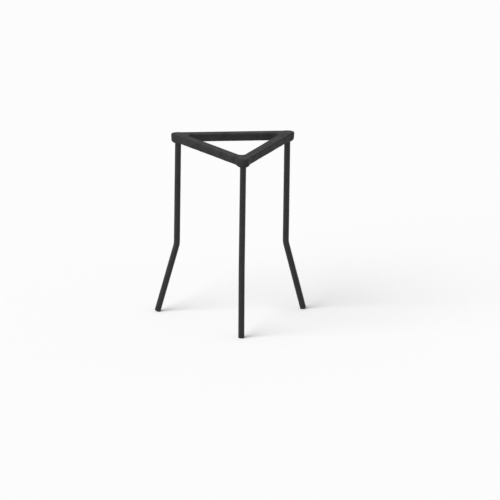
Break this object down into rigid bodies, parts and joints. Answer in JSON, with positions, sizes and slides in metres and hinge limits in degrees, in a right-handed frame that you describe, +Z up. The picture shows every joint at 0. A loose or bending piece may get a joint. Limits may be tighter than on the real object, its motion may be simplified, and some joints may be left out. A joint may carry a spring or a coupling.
{
  "type": "lab tripod stand",
  "caption": "Tripod stand for a laboratory burner: an open triangular iron top with a boss at each corner, on round steel legs that bend outwards near the foot.",
  "frame": {"origin": "on the bench, under the middle of the stand's outline seen from above", "axes": "+Z up; -Y towards the single front corner; +X to the right of someone facing that corner, along the back bar"},
  "size_m": [0.174, 0.1248, 0.21],
  "materials": {
    "black_iron": "satin black enamel over a sand-cast surface",
    "black_steel": "satin black enamel over drawn steel rod"
  },
  "bodies": {
    "root": {"top_frame": "black_iron", "leg_front": "black_steel", "leg_back_left": "black_steel", "leg_back_right": "black_steel"}
  },
  "joints": []
}
